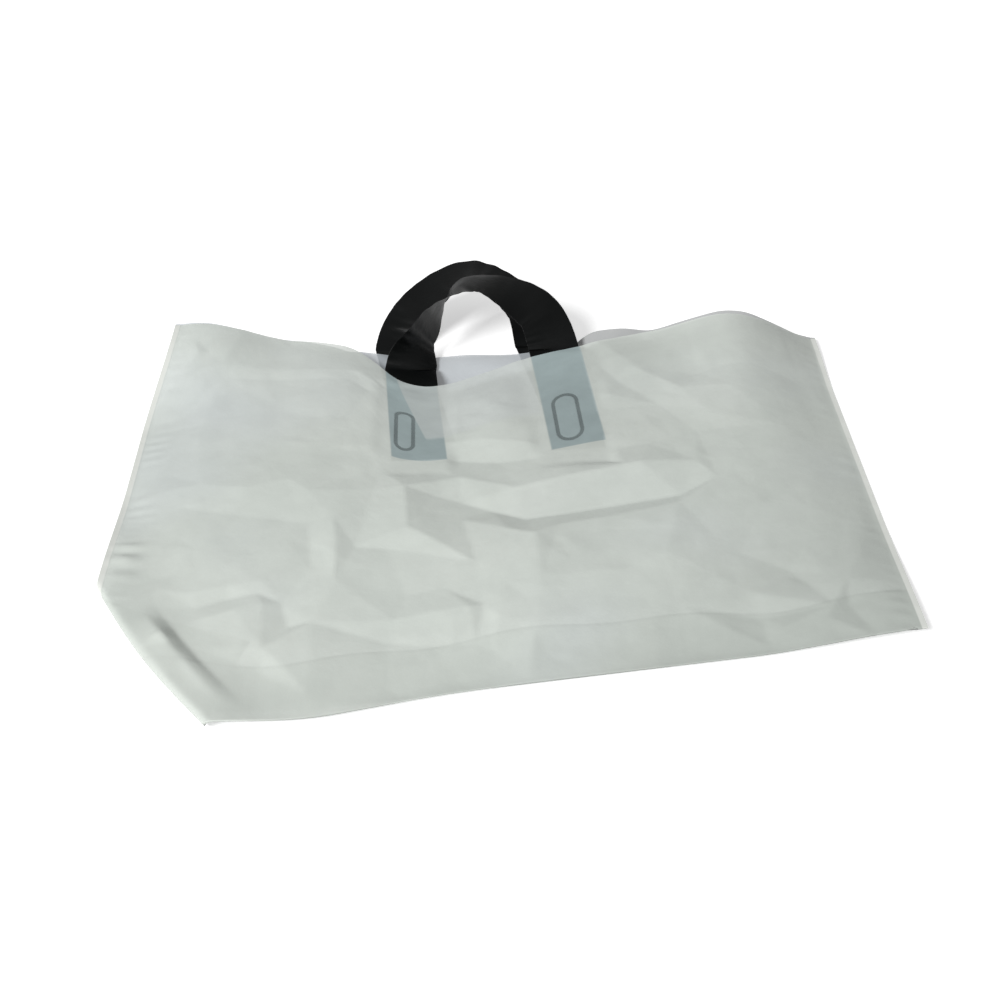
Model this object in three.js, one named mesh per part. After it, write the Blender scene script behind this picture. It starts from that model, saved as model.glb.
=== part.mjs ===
// A carrier bag of milky plastic film with two black loop handles, lying on its back panel.
// Millimetres, +Z up. The mouth faces +Y, the folded bottom faces -Y, and the front panel is on top.

import * as THREE from "three";
import { mergeVertices } from "three/addons/utils/BufferGeometryUtils.js";

// Driving dimensions of the film bag
const BAG_WIDTH = 400; // across, from side weld to side weld
const BAG_HEIGHT = 310; // from the bottom folds to the mouth
const GUSSET_DEPTH = 40; // how far the bottom tucks in between the panels
const GUSSET_TIP = 2; // the tucked fold tapers off over this length
const FILM = 0.07; // thickness of the film
const WELD_WIDTH = 3; // of the side welds, where all plies are one
const FOLD_RADIUS = 0.8; // bend radius of the bottom folds, away from the welds

// How the bag lies: heights of the front panel over the back panel
const PUFF_BOTTOM = 6; // over the bottom folds
const PUFF_MIDDLE = 12; // over the middle of the bag
const PUFF_MOUTH = 12; // at the mouth
const PUFF_CREST = 0.45; // share of the height at which the middle puff peaks
const HUMP_RISE = 22; // the mouth gapes higher on the right
const HUMP_X = 155;
const HUMP_SPREAD = 40;
const DIP_DEPTH = 6; // and it is pressed down at the left leg of the front handle
const DIP_X = -45;
const DIP_SPREAD = 40;

// Wrinkles draw the panels' edges back from the mouth, most of all between the handle's legs
const FRONT_SETBACK = 46;
const BACK_SETBACK = 12;
const SETBACK_X = -20;
const SETBACK_SPREAD = 95;

// They also draw the bottom up towards the mouth, evenly more from here to the right side
const BOTTOM_DRAW = 45;
const DRAW_FROM_X = -140;

// Driving dimensions of the handles
const STRIP_WIDTH = 30; // width of the black strip
const STRIP_THICKNESS = 0.25; // two plies of black film
const LEG_SPACING = 86; // between the middles of a loop's two legs
const LEG_LENGTH = 94; // how far a loop's legs reach down inside the mouth, from its lower side
const SEAT_GAP = 0.3; // between a leg and the panel that carries it
const EXIT = 10; // how far a leg runs on past the mouth before it rises
const LOOP_RISE = 54; // from there to the middle of the loop's top, in the loop's own plane

const FRONT_LOOP = {
  shift: -6, // sideways, from the middle of the bag
  slant: 0.06, // sideways drift of the legs for each millimetre down from the mouth
  sway: -6, // of the loop's top, from the middle of its legs
  lean: THREE.MathUtils.degToRad(44), // of the loop's plane, up from the floor
  pinch: 9, // of the loop's shoulders, in from its legs
  twist: [0, 65, 125, 165, 180].map(THREE.MathUtils.degToRad), // leg, shoulder, top, shoulder, leg
};
const REAR_LOOP = {
  shift: -13,
  slant: 0.17,
  sway: 2,
  lean: THREE.MathUtils.degToRad(36),
  pinch: 9,
  twist: [0, -25, -50, -25, 0].map(THREE.MathUtils.degToRad),
};

// How finely the curved sheets are cut into facets
const COLUMNS = 26; // across the bag
const PANEL_ROWS = 10; // up each panel, from the gusset to the mouth
const GUSSET_ROWS = 2; // along each ply of the gusset
const LEG_ROWS = 7; // along a leg
const LOOP_ROWS = 32; // around a loop
const STRIP_COLUMNS = 4; // across a strip

// Worked out from the driving dimensions
const WELD_EDGE = BAG_WIDTH / 2 - WELD_WIDTH; // where the plies run into a side weld
const BACK_Z = FILM / 2; // middle of the back panel's film
const TIP_Y = GUSSET_DEPTH + GUSSET_TIP;

const smooth = (t) => THREE.MathUtils.smoothstep(t, 0, 1);
const lerp = THREE.MathUtils.lerp;
const bell = (x, middle, spread) => Math.exp(-(((x - middle) / spread) ** 2));

// How far the bag has swollen at x: none at the side welds, all of it across the middle
function swell(x) {
  return 1 - (Math.abs(x) / WELD_EDGE) ** 4;
}

// The edges of the two panels at the mouth
const drawnBack = (x, setback) => BAG_HEIGHT - setback * bell(x, SETBACK_X, SETBACK_SPREAD) * swell(x);
const frontEdge = (x) => drawnBack(x, FRONT_SETBACK);
const backEdge = (x) => drawnBack(x, BACK_SETBACK);

// Middle of the front panel's film over a point of the bag
function frontZ(x, y) {
  const share = y / frontEdge(x);
  const puff =
    share < PUFF_CREST
      ? lerp(PUFF_BOTTOM, PUFF_MIDDLE, smooth(share / PUFF_CREST))
      : lerp(PUFF_MIDDLE, PUFF_MOUTH, smooth((share - PUFF_CREST) / (1 - PUFF_CREST)));
  const hump = HUMP_RISE * bell(x, HUMP_X, HUMP_SPREAD) * share ** 3;
  const dip = DIP_DEPTH * bell(x, DIP_X, DIP_SPREAD) * share ** 4;
  const pliesUnder = y < TIP_Y ? 3 : 1;
  return BACK_Z + pliesUnder * FILM + swell(x) * (puff + hump - dip);
}

// Places up a panel: through the gusset's depth, past its tip and on to the panel's own edge
function panelRows(edge) {
  const rows = [];
  for (let row = 0; row <= GUSSET_ROWS; row += 1) {
    rows.push((GUSSET_DEPTH * row) / GUSSET_ROWS);
  }
  for (let row = 0; row <= PANEL_ROWS; row += 1) {
    rows.push(lerp(TIP_Y, edge, row / PANEL_ROWS));
  }
  return rows;
}

// Lines along the folded film at x, each from the bottom to the mouth or around the gusset.
// Outside the bag they are top, pocket and base, and inside it under, tuck and floor.
function filmSection(x) {
  const bend = 2 * FOLD_RADIUS * swell(x);
  const bottomZ = frontZ(x, 0);
  const tipZ = FILM + (PUFF_BOTTOM / 2) * swell(x);
  const pocketZ = FILM + tipZ;
  const foldY = -(FILM + bend) / 2;
  const upperZ = (y) => lerp(bottomZ - FILM - bend, pocketZ + FILM / 2, y / GUSSET_DEPTH);
  const lowerZ = (y) => lerp(BACK_Z + FILM + bend, pocketZ - FILM / 2, y / GUSSET_DEPTH);
  const at = (y, z) => new THREE.Vector3(x, y, z);
  const inside = (y, z) => at(Math.max(y, FILM), z);
  const front = panelRows(frontEdge(x));
  const back = panelRows(backEdge(x));
  const plyRows = back.slice(0, GUSSET_ROWS + 1);
  const openRows = plyRows.slice(0, -1);
  return {
    top: front.map((y) => at(y, frontZ(x, y) + FILM / 2)),
    pocket: [
      at(foldY, bottomZ + foldY),
      ...openRows.map((y) => at(y, upperZ(y) - FILM / 2)),
      at(GUSSET_DEPTH, pocketZ),
      ...openRows.toReversed().map((y) => at(y, lowerZ(y) + FILM / 2)),
      at(foldY, BACK_Z - foldY),
    ],
    base: back.map((y) => at(y, BACK_Z - FILM / 2)),
    under: front.map((y) => inside(y, frontZ(x, y) - FILM / 2)),
    tuck: [
      ...plyRows.map((y) => inside(y, upperZ(y) + FILM / 2)),
      at(TIP_Y, tipZ),
      ...plyRows.toReversed().map((y) => inside(y, lowerZ(y) - FILM / 2)),
    ],
    floor: back.map((y) => inside(y, BACK_Z + FILM / 2)),
  };
}

// A closed solid around a sheet given as rows of points, half its thickness to each side
function thickSheet(rows, thickness) {
  const last = rows.length - 1;
  const end = rows[0].length - 1;
  const points = [];
  for (const side of [1, -1]) {
    rows.forEach((row, i) => {
      row.forEach((point, j) => {
        const along = rows[Math.min(i + 1, last)][j].clone().sub(rows[Math.max(i - 1, 0)][j]);
        const across = row[Math.min(j + 1, end)].clone().sub(row[Math.max(j - 1, 0)]);
        const normal = along.cross(across).normalize();
        points.push(point.clone().addScaledVector(normal, (side * thickness) / 2));
      });
    });
  }
  const top = (i, j) => i * (end + 1) + j;
  const under = (i, j) => (last + 1) * (end + 1) + top(i, j);
  const faces = [];
  const quad = (a, b, c, d) => faces.push(a, b, c, a, c, d);
  for (let i = 0; i < last; i += 1) {
    for (let j = 0; j < end; j += 1) {
      quad(top(i, j), top(i + 1, j), top(i + 1, j + 1), top(i, j + 1));
      quad(under(i, j), under(i, j + 1), under(i + 1, j + 1), under(i + 1, j));
    }
    quad(top(i, 0), under(i, 0), under(i + 1, 0), top(i + 1, 0));
    quad(top(i, end), top(i + 1, end), under(i + 1, end), under(i, end));
  }
  for (let j = 0; j < end; j += 1) {
    quad(top(0, j), top(0, j + 1), under(0, j + 1), under(0, j));
    quad(top(last, j), under(last, j), under(last, j + 1), top(last, j + 1));
  }
  const geometry = new THREE.BufferGeometry().setFromPoints(points);
  geometry.setIndex(faces);
  return geometry;
}

// The triangles between neighbouring rows of points
function skin(rows) {
  const triangles = [];
  for (let i = 0; i + 1 < rows.length; i += 1) {
    for (let j = 0; j + 1 < rows[i].length; j += 1) {
      const [a, b, c, d] = [rows[i][j], rows[i][j + 1], rows[i + 1][j + 1], rows[i + 1][j]];
      triangles.push([a, b, c], [a, c, d]);
    }
  }
  return triangles;
}

// The same triangles, facing the other way
const flipped = (triangles) => triangles.map((triangle) => triangle.toReversed());

// A side weld: the plies' common outline carried out to the bag's edge and closed there
function weld(section, side) {
  const step = new THREE.Vector3(side * WELD_WIDTH, 0, 0);
  const outward = (points) => points.map((point) => point.clone().add(step));
  const folds = [section.pocket[0], section.pocket[1], section.pocket.at(-1)];
  const mouth = [section.floor.at(-1), section.top.at(-1)];
  const outline = [...section.top.toReversed(), ...folds, ...section.base, ...mouth];
  const top = outward(section.top);
  const base = outward(section.base);
  const middle = top.map((point, k) => point.clone().lerp(base[k], 1 / 2));
  const [frontFold, , backFold] = outward(folds);
  const triangles = [
    ...skin([outline, outward(outline)]),
    ...skin([base, middle, top]),
    [top[0], frontFold, middle[0]],
    [middle[0], backFold, base[0]],
  ];
  return side > 0 ? triangles : flipped(triangles);
}

// The folded film, closed along both sides where its plies are welded together
function bagBody() {
  const sections = [];
  for (let column = 0; column <= COLUMNS; column += 1) {
    sections.push(filmSection(lerp(-WELD_EDGE, WELD_EDGE, column / COLUMNS)));
  }
  const outside = sections.map(({ top, pocket, base }) => [...top.toReversed(), ...pocket, ...base]);
  const inside = sections.map(({ under, tuck, floor }) => [...under.toReversed(), ...tuck, ...floor]);
  const triangles = [
    ...skin(outside),
    ...flipped(skin(inside)),
    ...skin(sections.map(({ under, top }) => [under.at(-1), top.at(-1)])),
    ...skin(sections.map(({ base, floor }) => [base.at(-1), floor.at(-1)])),
    ...weld(sections[0], -1),
    ...weld(sections.at(-1), 1),
  ];
  const apart = (a, b) => a.distanceTo(b) > FILM / 10;
  const whole = triangles.filter(([a, b, c]) => apart(a, b) && apart(b, c) && apart(c, a));
  return mergeVertices(new THREE.BufferGeometry().setFromPoints(whole.flat()));
}

// Where a handle's strip lies against its panel
const seatOffset = FILM / 2 + SEAT_GAP + STRIP_THICKNESS / 2;
const frontSeat = {
  mouth: frontEdge,
  z: (x, y) => frontZ(x, y) - seatOffset,
};
const rearSeat = {
  mouth: backEdge,
  z: () => BACK_Z + seatOffset,
};

// A strip of film: up from one leg's end, around the loop and down to the other leg's end
function handle(loop, seat) {
  const legX = [-1, 1].map((side) => loop.shift + (side * LEG_SPACING) / 2);
  const exits = legX.map((x) => {
    const y = seat.mouth(x) + EXIT;
    return new THREE.Vector3(x, y, seat.z(x, y));
  });
  const leanStep = (rise) => new THREE.Vector3(0, rise * Math.cos(loop.lean), rise * Math.sin(loop.lean));
  const before = exits.map((exit) => exit.clone().sub(new THREE.Vector3(0, EXIT, 0)));
  const shoulders = exits.map((exit, k) => {
    const inward = new THREE.Vector3(k === 0 ? loop.pinch : -loop.pinch, 0, 0);
    return exit.clone().add(leanStep(LOOP_RISE / 2)).add(inward);
  });
  const top = exits[0].clone().lerp(exits[1], 1 / 2).add(leanStep(LOOP_RISE));
  top.x += loop.sway;
  const up = [before[0], exits[0], shoulders[0]];
  const down = [shoulders[1], exits[1], before[1]];
  const stops = [...up, top, ...down];
  const route = new THREE.CatmullRomCurve3(stops);
  const span = 1 / (stops.length - 1);
  const inLoop = (t) => lerp(span, 1 - span, t);
  const planeNormal = exits[1].clone().sub(exits[0]).cross(leanStep(1)).normalize();

  const twistAt = (t) => {
    const place = t * (loop.twist.length - 1);
    const step = Math.min(Math.floor(place), loop.twist.length - 2);
    return lerp(loop.twist[step], loop.twist[step + 1], smooth(place - step));
  };
  const across = [];
  for (let column = 0; column <= STRIP_COLUMNS; column += 1) {
    across.push(STRIP_WIDTH * (column / STRIP_COLUMNS - 1 / 2));
  }
  const legEnd = Math.min(...legX.map(seat.mouth)) - LEG_LENGTH;
  const legRows = (k) => {
    const side = k === 0 ? -1 : Math.cos(loop.twist.at(-1));
    const mouth = seat.mouth(legX[k]);
    const rows = [];
    for (let row = 0; row <= LEG_ROWS; row += 1) {
      const y = lerp(legEnd, mouth + EXIT, row / LEG_ROWS);
      const middle = legX[k] + loop.slant * (mouth + EXIT - y);
      const places = across.map((u) => middle + u * side);
      rows.push(places.map((x) => new THREE.Vector3(x, y, seat.z(x, y))));
    }
    return rows;
  };
  const loopRow = (t) => {
    const middle = route.getPoint(inLoop(t));
    const tangent = route.getTangent(inLoop(t));
    const inPlane = planeNormal.clone().cross(tangent).normalize();
    const normal = tangent.clone().cross(inPlane);
    const twist = twistAt(t);
    return across.map((u) =>
      middle
        .clone()
        .addScaledVector(inPlane, u * Math.cos(twist))
        .addScaledVector(normal, u * Math.sin(twist)),
    );
  };
  const rows = legRows(0);
  for (let row = 1; row < LOOP_ROWS; row += 1) {
    rows.push(loopRow(row / LOOP_ROWS));
  }
  rows.push(...legRows(1).reverse());
  return thickSheet(rows, STRIP_THICKNESS);
}

// The same shape, with its bottom drawn up towards the mouth on the right
function drawnUp(geometry) {
  const points = geometry.getAttribute("position");
  for (let i = 0; i < points.count; i += 1) {
    const across = (points.getX(i) - DRAW_FROM_X) / (BAG_WIDTH / 2 - DRAW_FROM_X);
    const down = 1 - points.getY(i) / BAG_HEIGHT;
    points.setY(i, points.getY(i) + BOTTOM_DRAW * Math.max(across, 0) * Math.max(down, 0));
  }
  return geometry;
}

const milkyFilm = new THREE.MeshStandardMaterial({ color: 0xc6ccc6, roughness: 0.42, metalness: 0 });
const blackFilm = new THREE.MeshStandardMaterial({ color: 0x121313, roughness: 0.38, metalness: 0 });

function named(name, geometry, material) {
  const mesh = new THREE.Mesh(drawnUp(geometry), material.clone());
  mesh.name = name;
  return mesh;
}

const bag = new THREE.Group();
bag.add(named("bag_body", bagBody(), milkyFilm));
bag.add(named("front_handle", handle(FRONT_LOOP, frontSeat), blackFilm));
bag.add(named("rear_handle", handle(REAR_LOOP, rearSeat), blackFilm));

// The origin is under the middle of the whole bag, on the surface that it lies on
const box = new THREE.Box3().setFromObject(bag, true);
bag.position.set(-(box.min.x + box.max.x) / 2, -(box.min.y + box.max.y) / 2, -box.min.z);

const part = new THREE.Group();
part.add(bag);
export default part;
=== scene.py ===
"""Looks of a carrier bag of milky film with black soft-loop handles, lying on a plain pale floor."""

import math

import bpy
import numpy as np
from mathutils.geometry import delaunay_2d_cdt
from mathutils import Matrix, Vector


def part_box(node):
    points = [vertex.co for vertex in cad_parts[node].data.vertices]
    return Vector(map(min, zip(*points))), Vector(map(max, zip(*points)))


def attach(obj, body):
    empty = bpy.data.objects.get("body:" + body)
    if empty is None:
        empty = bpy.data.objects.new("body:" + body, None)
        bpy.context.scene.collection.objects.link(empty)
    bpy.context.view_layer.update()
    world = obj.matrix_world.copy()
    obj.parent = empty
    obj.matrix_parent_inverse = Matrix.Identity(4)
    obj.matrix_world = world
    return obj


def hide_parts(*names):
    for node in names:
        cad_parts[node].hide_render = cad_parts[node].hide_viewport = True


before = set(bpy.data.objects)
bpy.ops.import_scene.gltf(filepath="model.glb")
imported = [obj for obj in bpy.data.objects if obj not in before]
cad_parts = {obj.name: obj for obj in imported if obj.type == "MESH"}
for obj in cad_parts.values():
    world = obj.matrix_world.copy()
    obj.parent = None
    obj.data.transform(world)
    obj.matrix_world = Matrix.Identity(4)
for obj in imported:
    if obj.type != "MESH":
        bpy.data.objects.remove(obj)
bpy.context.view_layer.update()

# Sizes of the bag in millimetres, as in the solid model
BAG_WIDTH = 400
BAG_HEIGHT = 310
GUSSET_DEPTH = 40
WELD_WIDTH = 3
WELD_EDGE = BAG_WIDTH / 2 - WELD_WIDTH
PUFF_BOTTOM = 6
PUFF_MIDDLE = 12
PUFF_MOUTH = 12
PUFF_CREST = 0.45
HUMP_RISE = 22
HUMP_X = 155
HUMP_SPREAD = 40
DIP_DEPTH = 6
DIP_X = -45
DIP_SPREAD = 40
FRONT_SETBACK = 46
BACK_SETBACK = 12
SETBACK_X = -20
SETBACK_SPREAD = 95
BOTTOM_DRAW = 45
DRAW_FROM_X = -140
STRIP_WIDTH = 30
STRIP_THICKNESS = 0.25
LEG_SPACING = 86
LEG_LENGTH = 94
EXIT = 10
LOOP_RISE = 54
# How much lower the loops have drooped than those of the solid model
FRONT_DROOP = 6
REAR_DROOP = 3
# Length of a handle strip laid flat
STRIP_FLAT_LENGTH = 360

# The mouth at the side welds ties the bag's y to the frame's
BAG_Y = BAG_HEIGHT - 1000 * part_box("bag_body")[1][1]
MM = 0.001


def to_frame(points):
    """Bag millimetres to metres in the frame."""
    return (np.asarray(points, float) - (0, BAG_Y, 0)) * MM


def smooth(t):
    """From none to all of something while t goes from 0 to 1, with soft ends."""
    t = np.clip(t, 0, 1)
    return t * t * (3 - 2 * t)


def bell(x, middle, spread):
    return np.exp(-(((x - middle) / spread) ** 2))


def swell(x):
    """How far the bag has swollen at x: none at the side welds, all of it across the middle."""
    return np.clip(1 - (np.abs(x) / WELD_EDGE) ** 4, 0, 1)


# The front panel's edge at the mouth: the left handle leg drags it down
FRONT_EDGE = [
    (-200, 309), (-150, 308), (-116, 304), (-84, 297), (-68, 279), (-57, 261), (-40, 254), (-22, 256),
    (-3, 265), (11, 272), (36, 282), (54, 290), (90, 300), (122, 305.5), (160, 306.5), (184, 308),
    (200, 309),
]
EDGE_SOFTNESS = 7
# How far around a place its rounding reaches, as shares of the softness
SOFT_SHIFTS = np.linspace(-2, 2, 17)


def softened(x, stops):
    """A line through the stops (place, value), with its corners rounded off."""
    places, values = np.array(stops, float).T
    weights = np.exp(-(SOFT_SHIFTS**2))
    around = [np.interp(x + s * EDGE_SOFTNESS, places, values) for s in SOFT_SHIFTS]
    return np.tensordot(weights / weights.sum(), np.array(around), 1)


def front_edge(x):
    return softened(x, FRONT_EDGE)


def cad_edge(x, setback):
    """The solid model's edge at the mouth of a panel."""
    return BAG_HEIGHT - setback * bell(x, SETBACK_X, SETBACK_SPREAD) * swell(x)


def back_edge(x):
    return cad_edge(x, BACK_SETBACK)


def drawn_up(xy):
    """Places on the bag after wrinkles have drawn its bottom up towards the mouth on the right."""
    across = np.maximum((xy[..., 0] - DRAW_FROM_X) / (BAG_WIDTH / 2 - DRAW_FROM_X), 0)
    down = np.maximum(1 - xy[..., 1] / BAG_HEIGHT, 0)
    moved = np.array(xy, float)
    moved[..., 1] += BOTTOM_DRAW * across * down
    return moved


def panel_places(x, y):
    """Places of a panel's rows, drawn up, from the columns' x and the rows' y."""
    return drawn_up(np.stack([np.broadcast_to(x, y.shape), y], -1))


def puffed(x, share):
    """Height of the front panel over the back panel, before its creases."""
    low = PUFF_BOTTOM + (PUFF_MIDDLE - PUFF_BOTTOM) * smooth(share / PUFF_CREST)
    high = PUFF_MIDDLE + (PUFF_MOUTH - PUFF_MIDDLE) * smooth((share - PUFF_CREST) / (1 - PUFF_CREST))
    puff = np.where(share < PUFF_CREST, low, high)
    hump = HUMP_RISE * bell(x, HUMP_X, HUMP_SPREAD) * share**3
    dip = DIP_DEPTH * bell(x, DIP_X, DIP_SPREAD) * share**4
    return swell(x) * (puff + hump - dip)


# Creases of the front panel, as lines of places (x, y) with the height that the film has there
FOLDS = [
    # the long bent crease under the handle, and the ridge over it
    [(-34, 147, -0.5), (-20, 142, -1.6), (-6, 135, -2.5), (12, 128, -3.0), (30, 131, -2.5), (51, 136, -2.0),
     (94, 144, -0.8), (115, 157, 0.5)],
    [(-22, 162, 0.6), (8, 150, 1.0), (37, 158, 2.5), (75, 168, 2.8), (106, 171, 1.1)],
    # wrinkles from one handle leg to the other
    [(-26, 179, -1.0), (1, 175, -0.8), (25, 178, -0.2), (58, 181, 0.4), (82, 187, 0.6)],
    [(-40, 192, 1.0), (-10, 194, 1.2), (24, 189, 1.0)],
    # the bright facet under the left leg
    [(-74, 107, -0.6), (-66, 152, 1.0), (-50, 152, 2.6), (-48, 118, 2.2), (-58, 104, -0.2),
     (-74, 107, -0.6)],
    # facets at the left
    [(-133, 136, -0.6), (-106, 134, -0.2), (-92, 138, 0.6)],
    [(-132, 158, 0.8), (-112, 163, 1.4), (-100, 152, 1.3)],
    [(-99, 126, -0.6), (-95, 95, -0.8), (-108, 70, -1.0), (-104, 54, -1.2)],
    [(-86, 130, 0.7), (-84, 110, 0.8), (-83, 82, 1.0), (-93, 55, 0.2)],
    # the bright band at the left of the pinched wedge
    [(-57, 43, -1.9), (-36, 41, -1.6), (-15, 41, -0.8)],
    [(-54, 56, 0.0), (-36, 60, 0.8), (-18, 62, 1.5)],
    [(-48, 72, -0.6), (-30, 76, -0.2)],
    # the pinched wedge in the middle, down to its tip
    [(-20, 126, -0.8), (-14, 92, 0.4), (-11, 64, 0.6), (-7, 36, -0.5)],
    [(2, 116, 0.6), (0, 84, 1.7), (-4, 56, 1.3), (-7, 36, -0.5)],
    [(16, 110, 2.2), (18, 80, 2.4), (14, 50, 1.6), (8, 24, 0.8)],
    # the broad facet at the right of it, to its sharp right edge
    [(29, 119, 0.6), (56, 126, 0.8)],
    [(92, 136, 1.0), (86, 115, 2.2), (81, 97, 2.4), (63, 86, 2.0), (46, 70, 1.5), (36, 56, 1.0)],
    [(106, 112, 0.6), (102, 84, 0.0), (84, 62, -0.6), (62, 42, -0.4)],
    # the bright streak that runs down from the mouth at the right
    [(58, 276, -0.4), (72, 250, -0.4), (92, 226, -0.2), (110, 198, 0.0)],
    [(68, 288, 0.5), (84, 262, 1.0), (106, 240, 1.2), (120, 214, 0.9)],
    # the line below the mouth at the left
    [(-162, 274, 0.6), (-113, 270, 0.7), (-82, 269, 0.6)],
    [(-160, 264, -0.1), (-113, 261, -0.2), (-84, 260, -0.1)],
    # short creases at the left
    [(-152, 80, 0.5), (-136, 84, 0.5), (-119, 85, 0.4)],
    [(-149, 71, -0.9), (-135, 75, -1.0), (-121, 77, -0.4)],
    [(-146, 62, 0.5), (-130, 66, 0.5), (-117, 69, 0.3)],
    [(-188, 86, -0.7), (-165, 95, 0.3)],
    [(-187, 74, 0.5), (-168, 84, 0.7)],
    [(-187, 162, 0.6), (-166, 148, -0.5)],
    [(-180, 180, -0.4), (-158, 166, 0.6)],
    [(-186, 296, -0.7), (-180, 282, 0.5)],
    [(-190, 262, 0.6), (-174, 284, -0.5)],
    # creases at the right and at the lower right
    [(188, 128, 0.6), (180, 101, 0.8), (168, 78, 0.5), (154, 54, 0.2)],
    [(178, 128, -0.3), (170, 104, -0.4), (158, 84, -0.5)],
    [(132, 50, 0.6), (122, 40, 0.5)],
    [(118, 100, -0.8), (142, 88, -2.0), (152, 106, -0.8)],
    [(166, 62, -1.6), (122, 56, -1.2)],
    [(136, 240, 0.9), (160, 206, 0.9)],
]
FOLD_GAIN = 1.35
# Loose places of the film between the creases: spacing, rise, how far they stray from an even grid, how
# far they keep from a crease, both as a share of the spacing, and how far they go past the film
LOOSE_SPACING = 34
LOOSE_RISE = 0.8
LOOSE_STRAY = 0.42
LOOSE_CLEAR = 0.45
LOOSE_MARGIN = 20
# Small crinkles, and the gentle wave under them all, whose lengths vary by these shares
CRINKLE_SPACING = 12
CRINKLE_RISE = 0.26
WAVE_LENGTH = 110
WAVE_RISE = 0.4
WAVE_RANGE = (0.7, 1.5)
# Flat places where a handle leg is welded on: middle, half width, half length
PADS = [((-46, 212), 17, 42), ((41, 228), 17, 54)]
# How much of the creases such a place takes away, and how far around it that fades
PAD_FLATTENS = 0.92
PAD_FADE = 8
# Places nearer than this are one place, and a point this near a facet lies on it
SAME_PLACE = 1e-4
FACET_SLACK = 1e-9


def faceted(places, heights, edges, xy):
    """Height over xy of flat facets between places, with a facet edge along each of the edges."""
    cut = delaunay_2d_cdt([tuple(p) for p in places], edges, [], 0, SAME_PLACE)
    spots, faces, origin = np.array([tuple(p) for p in cut[0]]), cut[2], cut[3]
    level = []
    for spot, sources in zip(spots, origin):
        nearest = sources[0] if sources else int(np.argmin(((places - spot) ** 2).sum(1)))
        level.append(heights[nearest])
    total = np.zeros(xy.shape[:-1])
    for a, b, c in faces:
        corners = spots[[a, b, c]]
        near = np.all((xy >= corners.min(0)) & (xy <= corners.max(0)), -1)
        if not near.any():
            continue
        off = xy[near] - corners[0]
        ab, ac = corners[1] - corners[0], corners[2] - corners[0]
        area = ab[0] * ac[1] - ab[1] * ac[0]
        wb = (off[:, 0] * ac[1] - off[:, 1] * ac[0]) / area
        wc = (ab[0] * off[:, 1] - ab[1] * off[:, 0]) / area
        inside = (wb >= -FACET_SLACK) & (wc >= -FACET_SLACK) & (wb + wc <= 1 + FACET_SLACK)
        held = total[near]
        held[inside] = (level[a] + wb * (level[b] - level[a]) + wc * (level[c] - level[a]))[inside]
        total[near] = held
    return total


def loose_places(rng, spacing, rise, lines=()):
    """Scattered places with small heights, clear of the lines."""
    side = BAG_WIDTH / 2 + LOOSE_MARGIN
    x, y = np.meshgrid(
        np.arange(-side, side + 1, spacing), np.arange(-LOOSE_MARGIN, BAG_HEIGHT + LOOSE_MARGIN + 1, spacing))
    stray = rng.uniform(-LOOSE_STRAY, LOOSE_STRAY, (x.size, 2)) * spacing
    places = np.stack([x.ravel(), y.ravel()], -1) + stray
    heights = rng.uniform(-rise, rise, len(places))
    far = np.full(len(places), np.inf)
    for line in lines:
        for a, b in zip(line[:-1], line[1:]):
            a, along = np.array(a[:2], float), np.subtract(b[:2], a[:2]).astype(float)
            t = np.clip(((places - a) @ along) / (along @ along), 0, 1)
            far = np.minimum(far, np.linalg.norm(places - a - t[:, None] * along, axis=1))
    clear = far > LOOSE_CLEAR * spacing
    return places[clear], heights[clear]


def soft_noise(rng, xy, scale, count=24):
    """Gentle undulation: a sum of plane waves of about one wavelength."""
    total = np.zeros(xy.shape[:-1])
    for _ in range(count):
        turn, phase = rng.uniform(0, 2 * math.pi, 2)
        wave = 2 * math.pi / (scale * rng.uniform(*WAVE_RANGE))
        total += np.sin(wave * (xy[..., 0] * math.cos(turn) + xy[..., 1] * math.sin(turn)) + phase)
    return total / math.sqrt(count / 2)


def pad_mask(xy):
    """One on the flat places of the handle legs, fading to none around them."""
    mask = np.zeros(xy.shape[:-1])
    for (x, y), half_width, half_length in PADS:
        out = np.maximum(np.abs(xy[..., 0] - x) - half_width, np.abs(xy[..., 1] - y) - half_length)
        mask = np.maximum(mask, 1 - smooth(out / PAD_FADE))
    return mask


def crumpled(xy, seed, lines=()):
    """Height that creases add to a panel: large facets, small crinkles and a gentle wave."""
    rng = np.random.default_rng(seed)
    places, heights = loose_places(rng, LOOSE_SPACING, LOOSE_RISE, lines)
    places, heights, edges = list(places), list(heights), []
    for line in lines:
        for k, (x, y, height) in enumerate(line):
            if k:
                edges.append((len(places) - 1, len(places)))
            places.append((x, y))
            heights.append(height)
    total = FOLD_GAIN * faceted(np.array(places, float), np.array(heights), edges, xy)
    places, heights = loose_places(rng, CRINKLE_SPACING, CRINKLE_RISE)
    total += faceted(places, heights, [], xy)
    return total + WAVE_RISE * soft_noise(rng, xy, WAVE_LENGTH)


# How finely the film is cut up
COLUMNS = 264
FRONT_ROWS = 210
PLY_ROWS = 12
BACK_ROWS = 90
# How far the film keeps off the floor
FLOOR_CLEAR = 0.2

# The front panel: its seed, how far it clears the back one, its least height at the welds and what that
# gains across the swell, and how far from the welds, and up from the fold, its creases fade
FRONT_SEED = 3
FRONT_CLEAR = 0.9
LEAST_HEIGHT = 0.25
LEAST_SWELL = 0.8
SEAM_FADE = 30
CREASE_FADE = 0.04
CREASES_AT_FOLD = 0.25
# Between the handle legs the film billows up: rise, middle and spread
BILLOW_RISE = 3.0
BILLOW_MIDDLE = (2, 224)
BILLOW_SPREAD = (17, 30)
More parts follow.
